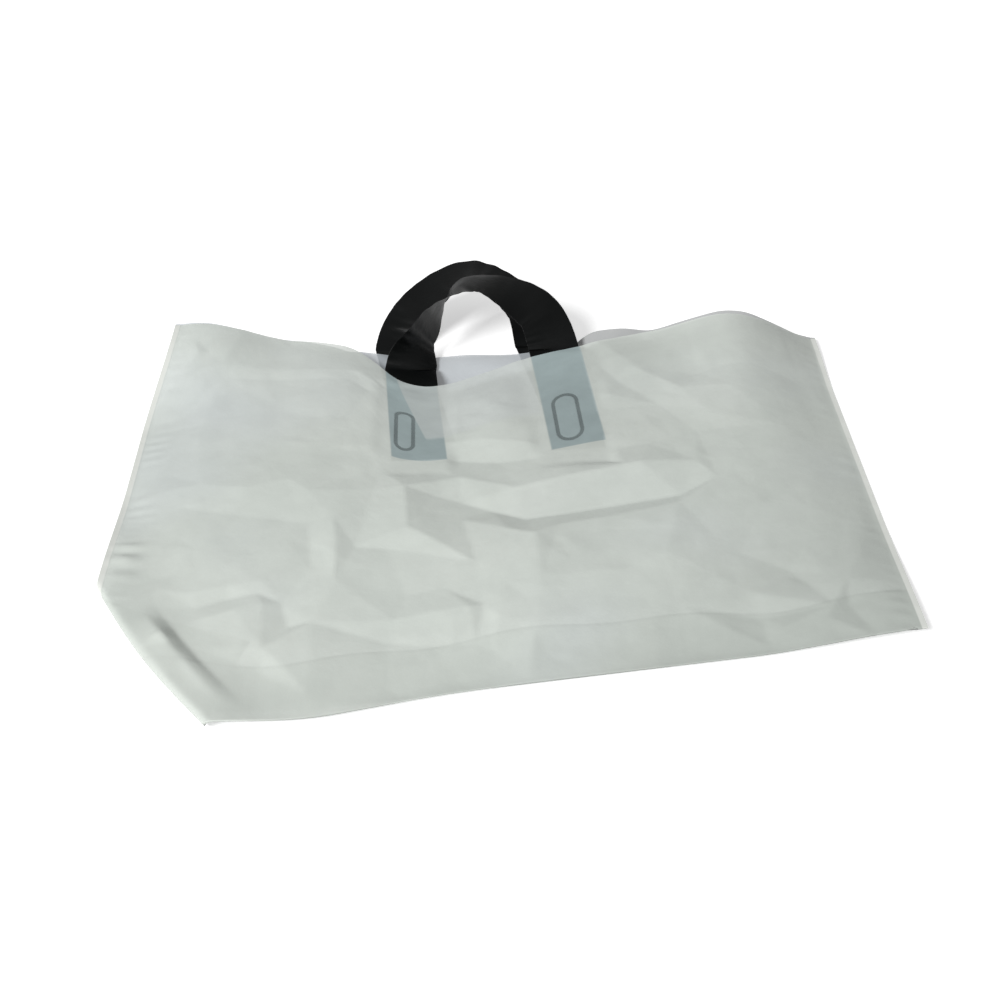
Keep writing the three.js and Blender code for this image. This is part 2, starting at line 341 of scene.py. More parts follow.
# How much of its height the front panel keeps at the bottom fold, how far up it is pressed down, and how
# far the fold reaches out and sags over the back one
FOLD_FLAT = 0.3
FOLD_REACH = 0.14
FOLD_OVERHANG = 2.4
FOLD_SAG = 6
FOLD_SAG_X = -98
FOLD_SAG_SPREAD = 48
OVERHANG_REACH = 0.1
# Puckers beside the side welds: most of them low on the left
PUCKER_SEED = 31
PUCKER_RISE = 0.8
PUCKER_OFF_WELD = 7
PUCKER_LEFT = 0.15
PUCKER_LOW_LEFT_Y = 95
PUCKER_LOW_LEFT_SPREAD = 40
PUCKER_RIGHT = 0.07
PUCKER_PATCH = 46
PUCKER_WAVE = 0.66
PUCKER_UNEVEN = 2.6
PUCKER_UNEVEN_WAVE = 0.09


def side_puckers(x, xy):
    y = xy[..., 1]
    low_left = PUCKER_LEFT + bell(y, PUCKER_LOW_LEFT_Y, PUCKER_LOW_LEFT_SPREAD)
    strength = np.where(x < 0, low_left, PUCKER_RIGHT)
    strength = strength * bell(np.abs(x), WELD_EDGE - PUCKER_OFF_WELD, PUCKER_OFF_WELD)
    uneven = 1 + soft_noise(np.random.default_rng(PUCKER_SEED), xy, PUCKER_PATCH)
    ripple = 1 + np.sin(y * PUCKER_WAVE + PUCKER_UNEVEN * np.sin(y * PUCKER_UNEVEN_WAVE))
    return PUCKER_RISE * strength * uneven * ripple


def front_panel(x):
    """Rows of the front panel, from its mouth to the bottom fold, and their places along the flat film."""
    share = np.linspace(1, 0, FRONT_ROWS + 1)[:, None]
    xy = panel_places(x, share * front_edge(x))
    lift = puffed(x, share) * (FOLD_FLAT + (1 - FOLD_FLAT) * smooth(share / FOLD_REACH))
    added = crumpled(xy, FRONT_SEED, FOLDS) * (1 - PAD_FLATTENS * pad_mask(xy))
    billow = [bell(xy[..., k], BILLOW_MIDDLE[k], BILLOW_SPREAD[k]) for k in (0, 1)]
    added += BILLOW_RISE * billow[0] * billow[1]
    added *= smooth((BAG_WIDTH / 2 - np.abs(x)) / SEAM_FADE) * smooth(share / CREASE_FADE + CREASES_AT_FOLD)
    z = FRONT_CLEAR * swell(x) + lift + added + side_puckers(x, xy)
    z = np.maximum(z, LEAST_HEIGHT + LEAST_SWELL * swell(x)) + FLOOR_CLEAR
    overhang = FOLD_OVERHANG + FOLD_SAG * bell(x, FOLD_SAG_X, FOLD_SAG_SPREAD)
    xy[..., 1] -= overhang * smooth(1 - share / OVERHANG_REACH)
    return np.concatenate([xy, z[..., None]], -1), (1 - share[:, 0]) * BAG_HEIGHT


def height_over(front, xy):
    """Height of the front panel's rows over places xy in the same columns."""
    y, z = front[::-1, :, 1], front[::-1, :, 2]
    return np.array([np.interp(xy[:, j, 1], y[:, j], z[:, j]) for j in range(xy.shape[1])]).T


# The gusset: its uneven depth, as shares of the whole depth, each with a length in x and a start
GUSSET_LEAST = 0.86
GUSSET_WAVES = [(0.09, 37, 0.6), (0.05, 13, 1)]
# Its tip's height, as a start and a share of the fold's, and the bends at the folds, at most
TIP_START = 0.35
TIP_SHARE = 0.45
BEND_SHARE = 0.4
BEND_MOST = 1.6
BACK_FOLD_CLEAR = 0.35
# Clearances between the plies
TIP_GAP = 0.1
UNDER_FRONT = 0.08
UNDER_FRONT_SWELL = 0.2
UNDER_PLY = 0.06
FOLD_GAP = 0.05


def gusset(x, front):
    """Rows of the gusset's upper ply and of its lower one, and their places along the flat film."""
    fold_z = front[-1, :, 2]
    depth = GUSSET_LEAST + sum(share * np.sin(x / length + start) for share, length, start in GUSSET_WAVES)
    depth = GUSSET_DEPTH * depth
    tip_z = TIP_START + TIP_SHARE * fold_z
    bend = np.minimum(BEND_MOST, BEND_SHARE * fold_z)

    inward = np.linspace(0, 1, PLY_ROWS + 1)[1:, None]
    upper_xy = panel_places(x, depth * inward)
    upper_z = (fold_z - bend) * (1 - inward) + (tip_z + TIP_GAP) * inward
    under = height_over(front, upper_xy) - UNDER_FRONT - UNDER_FRONT_SWELL * swell(x)
    upper_z = np.minimum(upper_z, under)

    outward = np.linspace(1, 0, PLY_ROWS + 1)[1:, None]
    lower_xy = panel_places(x, depth * outward)
    lower_z = (BACK_FOLD_CLEAR + bend) * (1 - outward) + (tip_z - TIP_GAP) * outward
    lower_z[:-1] = np.minimum(lower_z[:-1], upper_z[-2::-1] - UNDER_PLY)
    lower_z[-1] = np.minimum(lower_z[-1], fold_z - bend - FOLD_GAP)

    xy, z = np.concatenate([upper_xy, lower_xy]), np.concatenate([upper_z, lower_z])
    along = np.concatenate([inward[:, 0], 2 - outward[:, 0]])
    return np.concatenate([xy, z[..., None]], -1), BAG_HEIGHT + GUSSET_DEPTH * along


# The back panel: its seeds, its low creases, and its edge, which curls up where it isn't lifted
BACK_SEED = 5
CURL_SEED = 9
BACK_CREASES = 0.4
BACK_CREASE_MOST = 1.2
BACK_CREASE_FROM = 0.2
CURL_FROM = 0.9
CURL_RISE = 2.2
CURL_MOST = 3
CURL_PATCH = 70
CURL_GONE_AT = 4
UNDER_FRONT_EDGE = 0.4
# Its mouth is lifted off the floor on both sides of the handles: place and rise
BACK_LIFT = [
    (-194, 0), (-180, 4), (-150, 8), (-116, 10), (-95, 6.5), (-82, 1), (-76, 0),
    (47, 0), (58, 13.5), (80, 15), (97, 11), (112, 16), (140, 24.3), (155, 22.5), (175, 11), (188, 3),
    (194, 0),
]
LIFT_FROM = 0.72


def back_lift(x, y):
    near_mouth = np.clip((y / back_edge(x) - LIFT_FROM) / (1 - LIFT_FROM), 0, 1)
    return softened(x, BACK_LIFT) * near_mouth**2


def back_panel(x, front):
    """Rows of the back panel, from the bottom fold to its mouth, and their places along the flat film."""
    share = np.linspace(0, 1, BACK_ROWS + 1)[:, None]
    y = share * back_edge(x)
    xy = panel_places(x, y)
    creases = BACK_CREASES * np.minimum(np.abs(crumpled(xy, BACK_SEED)) * swell(x), BACK_CREASE_MOST)
    creases *= smooth((share - BACK_CREASE_FROM) / BACK_CREASE_FROM)
    lift = back_lift(x, y)
    uneven = 1 + soft_noise(np.random.default_rng(CURL_SEED), xy, CURL_PATCH)
    curl = CURL_RISE * smooth((share - CURL_FROM) / (1 - CURL_FROM)) * uneven * swell(x)
    curl = np.clip(curl, 0, CURL_MOST) * (1 - smooth(lift / CURL_GONE_AT))
    z = FLOOR_CLEAR + creases + curl + lift
    under = np.maximum(height_over(front, xy) - UNDER_FRONT_EDGE, FLOOR_CLEAR)
    z = np.where(xy[..., 1] <= front[0, :, 1], np.minimum(z, under), z)
    return np.concatenate([xy, z[..., None]], -1), BAG_HEIGHT + 2 * GUSSET_DEPTH + share[:, 0] * BAG_HEIGHT


def film_rows():
    """Rows of the film from the front panel's mouth, around the gusset, to the back panel's mouth."""
    x = np.linspace(-BAG_WIDTH / 2, BAG_WIDTH / 2, COLUMNS + 1)
    front, front_flat = front_panel(x)
    plies, ply_flat = gusset(x, front)
    back, back_flat = back_panel(x, front)
    return np.concatenate([front, plies, back]), x, np.concatenate([front_flat, ply_flat, back_flat])


# The lower left corner is turned under along this line, which bows out in the middle
TURN_FROM = np.array([-202.0, 97.0])
TURN_TO = np.array([-128.0, -10.0])
TURN_BOW = 4.0
TURN_RADIUS = 2.4
TURN_HEIGHT = 5.4
TURN_REACH = 46
# How thin the plies are pressed there: a start and a share of their height
PRESSED_START = 0.4
PRESSED_SHARE = 0.12
# The ridge and the hollow that the turn pushes up in the front panel beside the line
TURN_RIDGE = 4.0
TURN_HOLLOW = 0.7
TURN_CREST = -10
TURN_STEP = 7
TURN_FADE = 26
RIDGE_END = 4
RIDGE_FROM_HEIGHT = 2
RIDGE_OVER_HEIGHT = 3
RIDGE_FROM = 0.22
RIDGE_FADE_IN = 0.25
RIDGE_FADE_OUT = 0.15
TURN_PLIES = 0.5
TURN_LOWEST = 0.15


def turn_corner(points):
    length = np.linalg.norm(TURN_TO - TURN_FROM)
    along = (TURN_TO - TURN_FROM) / length
    outward = np.array([along[1], -along[0]])
    t = np.clip(((points[..., :2] - TURN_FROM) @ along) / length, 0, 1)
    s = (points[..., :2] - TURN_FROM) @ outward - TURN_BOW * np.sin(math.pi * t)

    near = smooth(1 + s / TURN_REACH)
    height = points[..., 2]
    pressed = np.minimum(height, PRESSED_START + PRESSED_SHARE * height)
    z = height * (1 - near) + pressed * near + TURN_HEIGHT * near

    on_front = smooth((height - RIDGE_FROM_HEIGHT) / RIDGE_OVER_HEIGHT)
    on_front *= smooth((t - RIDGE_FROM) / RIDGE_FADE_IN) * smooth((1 - t) / RIDGE_FADE_OUT)
    foot = TURN_CREST - TURN_STEP
    ridge = np.interp(s, (foot, TURN_CREST, RIDGE_END), (0, 1, 0))
    hollow = np.interp(s, (foot - TURN_FADE, foot, TURN_CREST), (0, 1, 0))
    z = z + on_front * (TURN_RIDGE * ridge - TURN_HOLLOW * hollow)

    middle = TURN_HEIGHT + TURN_PLIES
    angle = np.clip(s / TURN_RADIUS, 0, math.pi)
    reach = TURN_RADIUS + z - middle
    past = np.maximum(s - math.pi * TURN_RADIUS, 0)
    bent = np.where(s > 0, reach * np.sin(angle) - past, s)
    moved = points.copy()
    moved[..., :2] += (bent - s)[..., None] * outward
    moved[..., 2] = np.where(s > 0, middle - TURN_RADIUS + reach * np.cos(angle), z)
    moved[..., 2] = np.maximum(moved[..., 2], TURN_LOWEST)
    return moved


# Corners that curl up off the floor: place, rise, reach, and how far they are drawn in
CURLS = [
    ((200, 45), 5, 90, (-1, 2)),
    ((-200, 310), 19, 85, (9, 3)),
    ((200, 310), 3, 60, (0, 0)),
]


def curl_corners(points):
    moved = points.copy()
    for (x, y), rise, reach, (dx, dy) in CURLS:
        far = np.hypot(points[..., 0] - x, points[..., 1] - y)
        near = smooth(1 - far / reach)
        moved[..., 2] += rise * near
        moved[..., 0] += dx * near
        moved[..., 1] += dy * near
    return moved


def grid_mesh(name, rows, uv):
    """A mesh of quads over rows of points, with each point's place on the flat sheet."""
    count, across = rows.shape[:2]
    index = np.arange(count * across).reshape(count, across)
    quads = np.stack([index[:-1, :-1], index[:-1, 1:], index[1:, 1:], index[1:, :-1]], -1).reshape(-1, 4)
    mesh = bpy.data.meshes.new(name)
    mesh.vertices.add(count * across)
    mesh.vertices.foreach_set("co", to_frame(rows.reshape(-1, 3)).ravel())
    mesh.loops.add(quads.size)
    mesh.loops.foreach_set("vertex_index", quads.ravel().astype(np.int32))
    mesh.polygons.add(len(quads))
    mesh.polygons.foreach_set("loop_start", np.arange(0, quads.size, 4, dtype=np.int32))
    mesh.update(calc_edges=True)
    mesh.polygons.foreach_set("use_smooth", np.ones(len(quads), bool))
    layer = mesh.uv_layers.new(name="flat")
    layer.data.foreach_set("uv", uv.reshape(-1, 2)[quads.ravel()].ravel())
    piece = bpy.data.objects.new(name, mesh)
    bpy.context.scene.collection.objects.link(piece)
    return piece


def flat_grid(across, along):
    """Places on a flat sheet in metres, from millimetres across and along it."""
    return np.stack(np.broadcast_arrays(across[None, :] * MM, along[:, None] * MM), -1)


film, film_x, film_flat = film_rows()
bag_film = grid_mesh("bag_film", curl_corners(turn_corner(film)), flat_grid(film_x, film_flat))
front_heights = film[: FRONT_ROWS + 1, :, 2][::-1]


def front_height(x, y):
    """Height of the creased front panel, and of its edge carried on past the mouth."""
    share = np.clip(y / front_edge(x), 0, 1) * FRONT_ROWS
    column = np.clip((x + BAG_WIDTH / 2) / BAG_WIDTH, 0, 1) * COLUMNS
    i = np.minimum(share.astype(int), FRONT_ROWS - 1)
    j = np.minimum(column.astype(int), COLUMNS - 1)
    a, b = share - i, column - j
    below = front_heights[i, j] * (1 - b) + front_heights[i, j + 1] * b
    above = front_heights[i + 1, j] * (1 - b) + front_heights[i + 1, j + 1] * b
    return below * (1 - a) + above * a


# The handles
LEG_ROWS = 48
LOOP_ROWS = 150
STRIP_COLUMNS = 14
# How far a leg lies under the front panel or over the back one, and its height where it leaves the mouth
UNDER_FRONT_PANEL = 0.45
OVER_BACK_PANEL = 0.9
CAD_FRONT_CLEAR = 0.1
FRONT_EXIT_CLEAR = 0.46
REAR_EXIT_HEIGHT = 0.5
STRIP_LOWEST = 0.4
LEG_RUNOUT = 14
# Ripples along a loop, and the way that it cups across its width
RIPPLE_COUNT = 6
RIPPLE_RATES = (8, 26)
RIPPLE_STARTS = (0, 6.28)
RIPPLE_SKEW = 1.2
RIPPLE_PITCH = 6
RIPPLE_RISE = 0.45
CUP_RISE = 1.0
CUP_LEVEL = 0.4
FREE_FROM = 0.12
FRONT_LOOP = dict(shift=-6, slant=0.06, sway=-6, lean=44, rise=LOOP_RISE - FRONT_DROOP, pinch=9,
                  twist=(0, 65, 125, 165, 180), seed=21)
REAR_LOOP = dict(shift=-13, slant=0.17, sway=2, lean=36, rise=LOOP_RISE - REAR_DROOP, pinch=9,
                 twist=(0, -25, -40, -25, 0), seed=22)


def front_mouth(x):
    return cad_edge(x, FRONT_SETBACK)


def front_seat(x, y):
    return front_height(x, y) - UNDER_FRONT_PANEL


def front_exit(x, y):
    return CAD_FRONT_CLEAR + puffed(x, np.asarray(y / front_mouth(x))) - FRONT_EXIT_CLEAR


def rear_seat(x, y):
    return OVER_BACK_PANEL + back_lift(x, y)


def rear_exit(x, y):
    return np.full(np.shape(x), REAR_EXIT_HEIGHT)


def smooth_route(stops):
    """A curve through the stops, with its direction at each place from 0 to 1."""
    stops = np.asarray(stops, float)
    ends = [2 * stops[0] - stops[1], *stops, 2 * stops[-1] - stops[-2]]
    chords = [np.linalg.norm(b - a) ** 0.5 for a, b in zip(ends[:-1], ends[1:])]

    def at(t):
        place = t * (len(stops) - 1)
        k = min(int(place), len(stops) - 2)
        w = place - k
        p0, p1, p2, p3 = ends[k : k + 4]
        d0, d1, d2 = chords[k : k + 3]
        m1 = ((p1 - p0) / d0 - (p2 - p0) / (d0 + d1) + (p2 - p1) / d1) * d1
        m2 = ((p2 - p1) / d1 - (p3 - p1) / (d1 + d2) + (p3 - p2) / d2) * d1
        c2 = -3 * p1 + 3 * p2 - 2 * m1 - m2
        c3 = 2 * p1 - 2 * p2 + m1 + m2
        point = p1 + m1 * w + c2 * w**2 + c3 * w**3
        slope = m1 + 2 * c2 * w + 3 * c3 * w**2
        return point, slope / np.linalg.norm(slope)

    return at


ACROSS = STRIP_WIDTH * (np.arange(STRIP_COLUMNS + 1) / STRIP_COLUMNS - 0.5)


def leg_rows(loop, k, leg_x, seat, mouth, exit_z):
    """Rows of one leg, from its lower end up to where it leaves the mouth."""
    side = -1 if k == 0 else math.cos(math.radians(loop["twist"][-1]))
    edge = mouth(leg_x[k])
    leg_end = min(mouth(x) for x in leg_x) - LEG_LENGTH
    rows = []
    for height in np.linspace(leg_end, edge + EXIT, LEG_ROWS + 1):
        x = leg_x[k] + loop["slant"] * (edge + EXIT - height) + ACROSS * side
        y = np.full_like(x, height)
        out = smooth((height - edge + LEG_RUNOUT) / (EXIT + LEG_RUNOUT))
        rows.append(np.stack([x, y, seat(x, y) * (1 - out) + out * exit_z(x, y)], -1))
    return rows


def loop_rows(loop, exits):
    """Rows of the free loop between its two exits, twisting on its way."""
    lean = math.radians(loop["lean"])
    step = np.array([0, math.cos(lean), math.sin(lean)])
    before = [p - (0, EXIT, 0) for p in exits]
    shoulders = [p + step * loop["rise"] / 2 + (s * loop["pinch"], 0, 0) for p, s in zip(exits, (1, -1))]
    top = (exits[0] + exits[1]) / 2 + step * loop["rise"] + (loop["sway"], 0, 0)
    stops = [before[0], exits[0], shoulders[0], top, shoulders[1], exits[1], before[1]]
    route = smooth_route(stops)
    span = 1 / (len(stops) - 1)
    plane_normal = np.cross(exits[1] - exits[0], step)
    plane_normal /= np.linalg.norm(plane_normal)
    twists = np.radians(loop["twist"])

    rng = np.random.default_rng(loop["seed"])
    ripples = [
        (rng.uniform(*RIPPLE_RATES), rng.uniform(*RIPPLE_STARTS), rng.uniform(-RIPPLE_SKEW, RIPPLE_SKEW))
        for _ in range(RIPPLE_COUNT)
    ]
    share = ACROSS / (STRIP_WIDTH / 2)
    rows = []
    for t in np.arange(1, LOOP_ROWS) / LOOP_ROWS:
        middle, tangent = route(span + (1 - 2 * span) * t)
        in_plane = np.cross(plane_normal, tangent)
        in_plane /= np.linalg.norm(in_plane)
        normal = np.cross(tangent, in_plane)
        place = t * (len(twists) - 1)
        k = min(int(place), len(twists) - 2)
        twist = twists[k] + (twists[k + 1] - twists[k]) * smooth(place - k)
        wide = in_plane * math.cos(twist) + normal * math.sin(twist)
        face = np.cross(tangent, wide)
        free = smooth(t / FREE_FROM) * smooth((1 - t) / FREE_FROM)
        waves = [np.sin(rate * t * RIPPLE_PITCH + start + skew * share) for rate, start, skew in ripples]
        wave = sum(waves) / RIPPLE_COUNT
        bow = free * (RIPPLE_RISE * wave + CUP_RISE * (share**2 - CUP_LEVEL))
        rows.append(middle + ACROSS[:, None] * wide + bow[:, None] * face)
    return rows


def strip(name, loop, seat, mouth, exit_z):
    """A handle strip: up one leg, around the loop and down the other leg."""
    leg_x = [loop["shift"] - LEG_SPACING / 2, loop["shift"] + LEG_SPACING / 2]
    exits = [np.array([x, mouth(x) + EXIT, exit_z(x, mouth(x) + EXIT)]) for x in leg_x]
    legs = [leg_rows(loop, k, leg_x, seat, mouth, exit_z) for k in (0, 1)]
    rows = np.array(legs[0] + loop_rows(loop, exits) + legs[1][::-1])
    rows[..., :2] = drawn_up(rows[..., :2])
    rows[..., 2] = np.maximum(rows[..., 2], STRIP_LOWEST)

    count, wide = rows.shape[:2]
    uv = flat_grid(np.linspace(0, STRIP_WIDTH, wide), np.linspace(0, STRIP_FLAT_LENGTH, count))
    piece = grid_mesh(name, rows, uv)
    ends = np.empty(2 * len(piece.data.edges), np.int32)
    piece.data.edges.foreach_get("vertices", ends)
    row, column = np.divmod(ends.reshape(-1, 2), wide)
    at_ends = np.all(row == 0, 1) | np.all(row == count - 1, 1)
    at_sides = np.all(column == 0, 1) | np.all(column == wide - 1, 1)
    sharp = piece.data.attributes.new("sharp_edge", "BOOLEAN", "EDGE")
    sharp.data.foreach_set("value", at_ends | at_sides)
    thick = piece.modifiers.new("plies", "SOLIDIFY")
    thick.thickness = STRIP_THICKNESS * MM
    thick.offset = 0
    return piece


front_strip = strip("front_strip", FRONT_LOOP, front_seat, front_mouth, front_exit)
rear_strip = strip("rear_strip", REAR_LOOP, rear_seat, back_edge, rear_exit)


# Materials
class Nodes:
    """Short ways to add nodes to a material."""

    def __init__(self, name):
        self.material = bpy.data.materials.new(name)
        self.material.use_nodes = True
        self.tree = self.material.node_tree
        self.shader = self.tree.nodes["Principled BSDF"]

    def new(self, kind, **values):
        node = self.tree.nodes.new(kind)
        for key, value in values.items():
            setattr(node, key, value)
        return node

    def link(self, a, b):
        self.tree.links.new(a, b)

    def put(self, socket, value):
        if isinstance(value, (int, float, tuple)):
            socket.default_value = value
        else:
            self.link(value, socket)

    def math(self, operation, *values):
        node = self.new("ShaderNodeMath", operation=operation)
        for socket, value in zip(node.inputs, values):
            self.put(socket, value)
        return node.outputs[0]

    def times(self, a, b):
        return self.math("MULTIPLY", a, b)

    def plus(self, a, b):
        return self.math("ADD", a, b)

    def minus(self, a, b):
        return self.math("SUBTRACT", a, b)

    def most(self, values):
        """The largest of several values."""
        largest = values[0]
        for value in values[1:]:
            largest = self.math("MAXIMUM", largest, value)
        return largest

    def spread(self, value, low, high, to_low, to_high):
        node = self.new("ShaderNodeMapRange")
        node.interpolation_type = "SMOOTHSTEP"
        for socket, v in zip(node.inputs, (value, low, high, to_low, to_high)):
            self.put(socket, v)
        return node.outputs[0]

    def noise(self, vector, scale, detail, rough=0.5):
        node = self.new("ShaderNodeTexNoise")
        self.link(vector, node.inputs["Vector"])
        node.inputs["Scale"].default_value = scale
        node.inputs["Detail"].default_value = detail
        node.inputs["Roughness"].default_value = rough
        return node.outputs["Fac"]

    def mix(self, factor, a, b):
        node = self.new("ShaderNodeMix", data_type="RGBA")
        self.put(node.inputs[0], factor)
        self.put(node.inputs[6], a)
        self.put(node.inputs[7], b)
        return node.outputs[2]

    def bump(self, height, strength, distance, normal=None):
        node = self.new("ShaderNodeBump")
        node.inputs["Strength"].default_value = strength
        node.inputs["Distance"].default_value = distance
        self.link(height, node.inputs["Height"])
        if normal is not None:
            self.link(normal, node.inputs["Normal"])
        return node.outputs["Normal"]


def flat_place(x, y):
    """Where a place on the front panel lies in the flat film, in metres."""
    edge = float(front_edge(np.array([float(x)]))[0])
    return x * MM, (1 - y / edge) * BAG_HEIGHT * MM


def flat_back(x, y):
    """Where a place on the back panel lies in the flat film, in metres."""
    edge = float(back_edge(np.array([float(x)]))[0])
    return x * MM, (BAG_HEIGHT + 2 * GUSSET_DEPTH + y / edge * BAG_HEIGHT) * MM


# Weld rings on the handle legs, in metres in the flat film: middle, tilt and half width
RINGS = [
    (flat_place(40, 208), -0.05, 0.0068), (flat_place(-51, 204), -0.01, 0.0048),
    (flat_back(38, 250), 0.17, 0.0068), (flat_back(-48, 250), 0.17, 0.0068),
]
RING_HALF_STRAIGHT = 0.0118
RING_SQUEEZE = 0.72
RING_LINE = 0.0012
RING_INSIDE = 0.5
RING_OUTSIDE = 1.3

# Where a handle leg is welded to the film: its middle at the mouth, and its length, in the flat film
PAD_WELDS = [(0.0376, 0.1165), (-0.0484, 0.1005)]
PAD_SLANT = 0.057
PAD_SOFTNESS = 0.0006

# A pleat that lays the film double from the left leg to the right one, under the mouth
PLEAT_LEFT = -0.057
PLEAT_SLANT = 0.24
PLEAT_RIGHT = 0.0226
PLEAT_LENGTH = 0.077
# How softly its left and right edges and its end fade
PLEAT_LEFT_FADE = (-0.0005, 0.0005)
PLEAT_RIGHT_FADE = (-0.003, 0.001)
PLEAT_END_FADE = (-0.006, 0.0)

# Where the side welds begin and the front panel ends, which stretches of the flat film are the back panel's
# inside with painted shade, and where painted shade darkens the front panel towards its lower right, in
# metres
WELD_BEGINS = (0.1966, 0.1974)
FRONT_ENDS = (0.31, 0.33)
INSIDE_PAINTED_SHADE_BEGINS = (0.60, 0.66)
SHADE_BEGINS = (0.655, 0.685)
SHADE_RIGHT_OF = (0.04, 0.055)
LOWER_RIGHT_SHADE_BEGINS = (0.27, 0.45)

# Colours of the film
MILKY = (0.64, 0.685, 0.64, 1)
MILKY_PALE = (0.67, 0.71, 0.665, 1)
MILKY_BLUE = (0.645, 0.69, 0.69, 1)
# Painted shade: the film darker towards the front panel's lower right, where the lamp reaches it less
MILKY_PAINTED_SHADE = (0.56, 0.60, 0.56, 1)
WELDED = (0.72, 0.74, 0.70, 1)
# Painted shade: the back panel's inside near the mouth, darker and bluish grey, where shade falls in the
# bag's mouth
INSIDE_PAINTED_SHADE = (0.54, 0.58, 0.61, 1)
# Deeper painted shade on that inside, at the right of the handles
INSIDE_SHADE = (0.40, 0.41, 0.41, 1)
OVER_LEG = (0.50, 0.605, 0.61, 1)
PLEATED = (0.66, 0.70, 0.68, 1)
PLEAT_TINT = 0.7

# How opaque the film is, and what the welds, the shade, the legs and the rings add or take away
OPAQUE = (0.74, 0.79)
WELD_OPAQUE = 0.2
SHADE_OPAQUE = 0.15
LEG_CLEARER = (0.045, 0.165)
LEG_CLEARER_OVER = 0.08
PLEAT_KEEPS = 0.45
RING_CLEARER = 0.3

# Where a noise's soft steps begin and end, and those of the blue tint, which stays below full
NOISE_STEP = (0.3, 0.7)
TINT_STEP = (0.5, 0.75)
TINT_MOST = 0.8

# The film's surface: noises by scale, detail and roughness, bumps by strength and height in metres
CLOUD = (9.0, 3.0)
STREAK = (60.0, 4.0)
TINT = (5.0, 2.0)
CRINKLE = (55.0, 5.0, 0.55)
CRINKLE_BUMP = (0.35, 0.0012)
GRAIN = (900.0, 2.0)
GRAIN_BUMP = (0.12, 0.0001)
RING_BUMP = (0.5, 0.0004)
FILM_ROUGHNESS = (0.36, 0.48)
FILM_SHEEN = 0.45


def ring_mask(n, u, v):
    lines = []
    for (ring_u, ring_v), tilt, half_width in RINGS:
        du = n.minus(u, ring_u)
        dv = n.times(n.minus(v, ring_v), RING_SQUEEZE)
        across = n.plus(n.times(du, math.cos(tilt)), n.times(dv, math.sin(tilt)))
        along = n.minus(n.times(dv, math.cos(tilt)), n.times(du, math.sin(tilt)))
        past = n.math("MAXIMUM", n.minus(n.math("ABSOLUTE", along), RING_HALF_STRAIGHT), 0.0)
        far = n.math("SQRT", n.plus(n.math("POWER", across, 2.0), n.math("POWER", past, 2.0)))
        off = n.math("ABSOLUTE", n.minus(far, half_width))
        lines.append(n.spread(off, RING_LINE * RING_INSIDE, RING_LINE * RING_OUTSIDE, 1.0, 0.0))
    return n.most(lines)


def leg_mask(n, u, v, drift):
    """One where the film is welded to a leg of the front handle."""
    masks = []
    for middle, length in PAD_WELDS:
        off = n.minus(n.minus(u, middle), drift)
        wide = n.minus(n.math("ABSOLUTE", off), STRIP_WIDTH / 2 * MM)
        high = n.minus(v, length)
        masks.append(n.spread(n.math("MAXIMUM", wide, high), -PAD_SOFTNESS, PAD_SOFTNESS, 1.0, 0.0))
    return n.most(masks)


def pleat_mask(n, u, v, drift):
    left = n.minus(n.plus(PLEAT_LEFT, n.times(v, PLEAT_SLANT)), u)
    right = n.minus(n.minus(u, PLEAT_RIGHT), drift)
    below = n.minus(v, PLEAT_LENGTH)
    mask = n.spread(left, *PLEAT_LEFT_FADE, 1.0, 0.0)
    mask = n.times(mask, n.spread(right, *PLEAT_RIGHT_FADE, 1.0, 0.0))
    return n.times(mask, n.spread(below, *PLEAT_END_FADE, 1.0, 0.0))


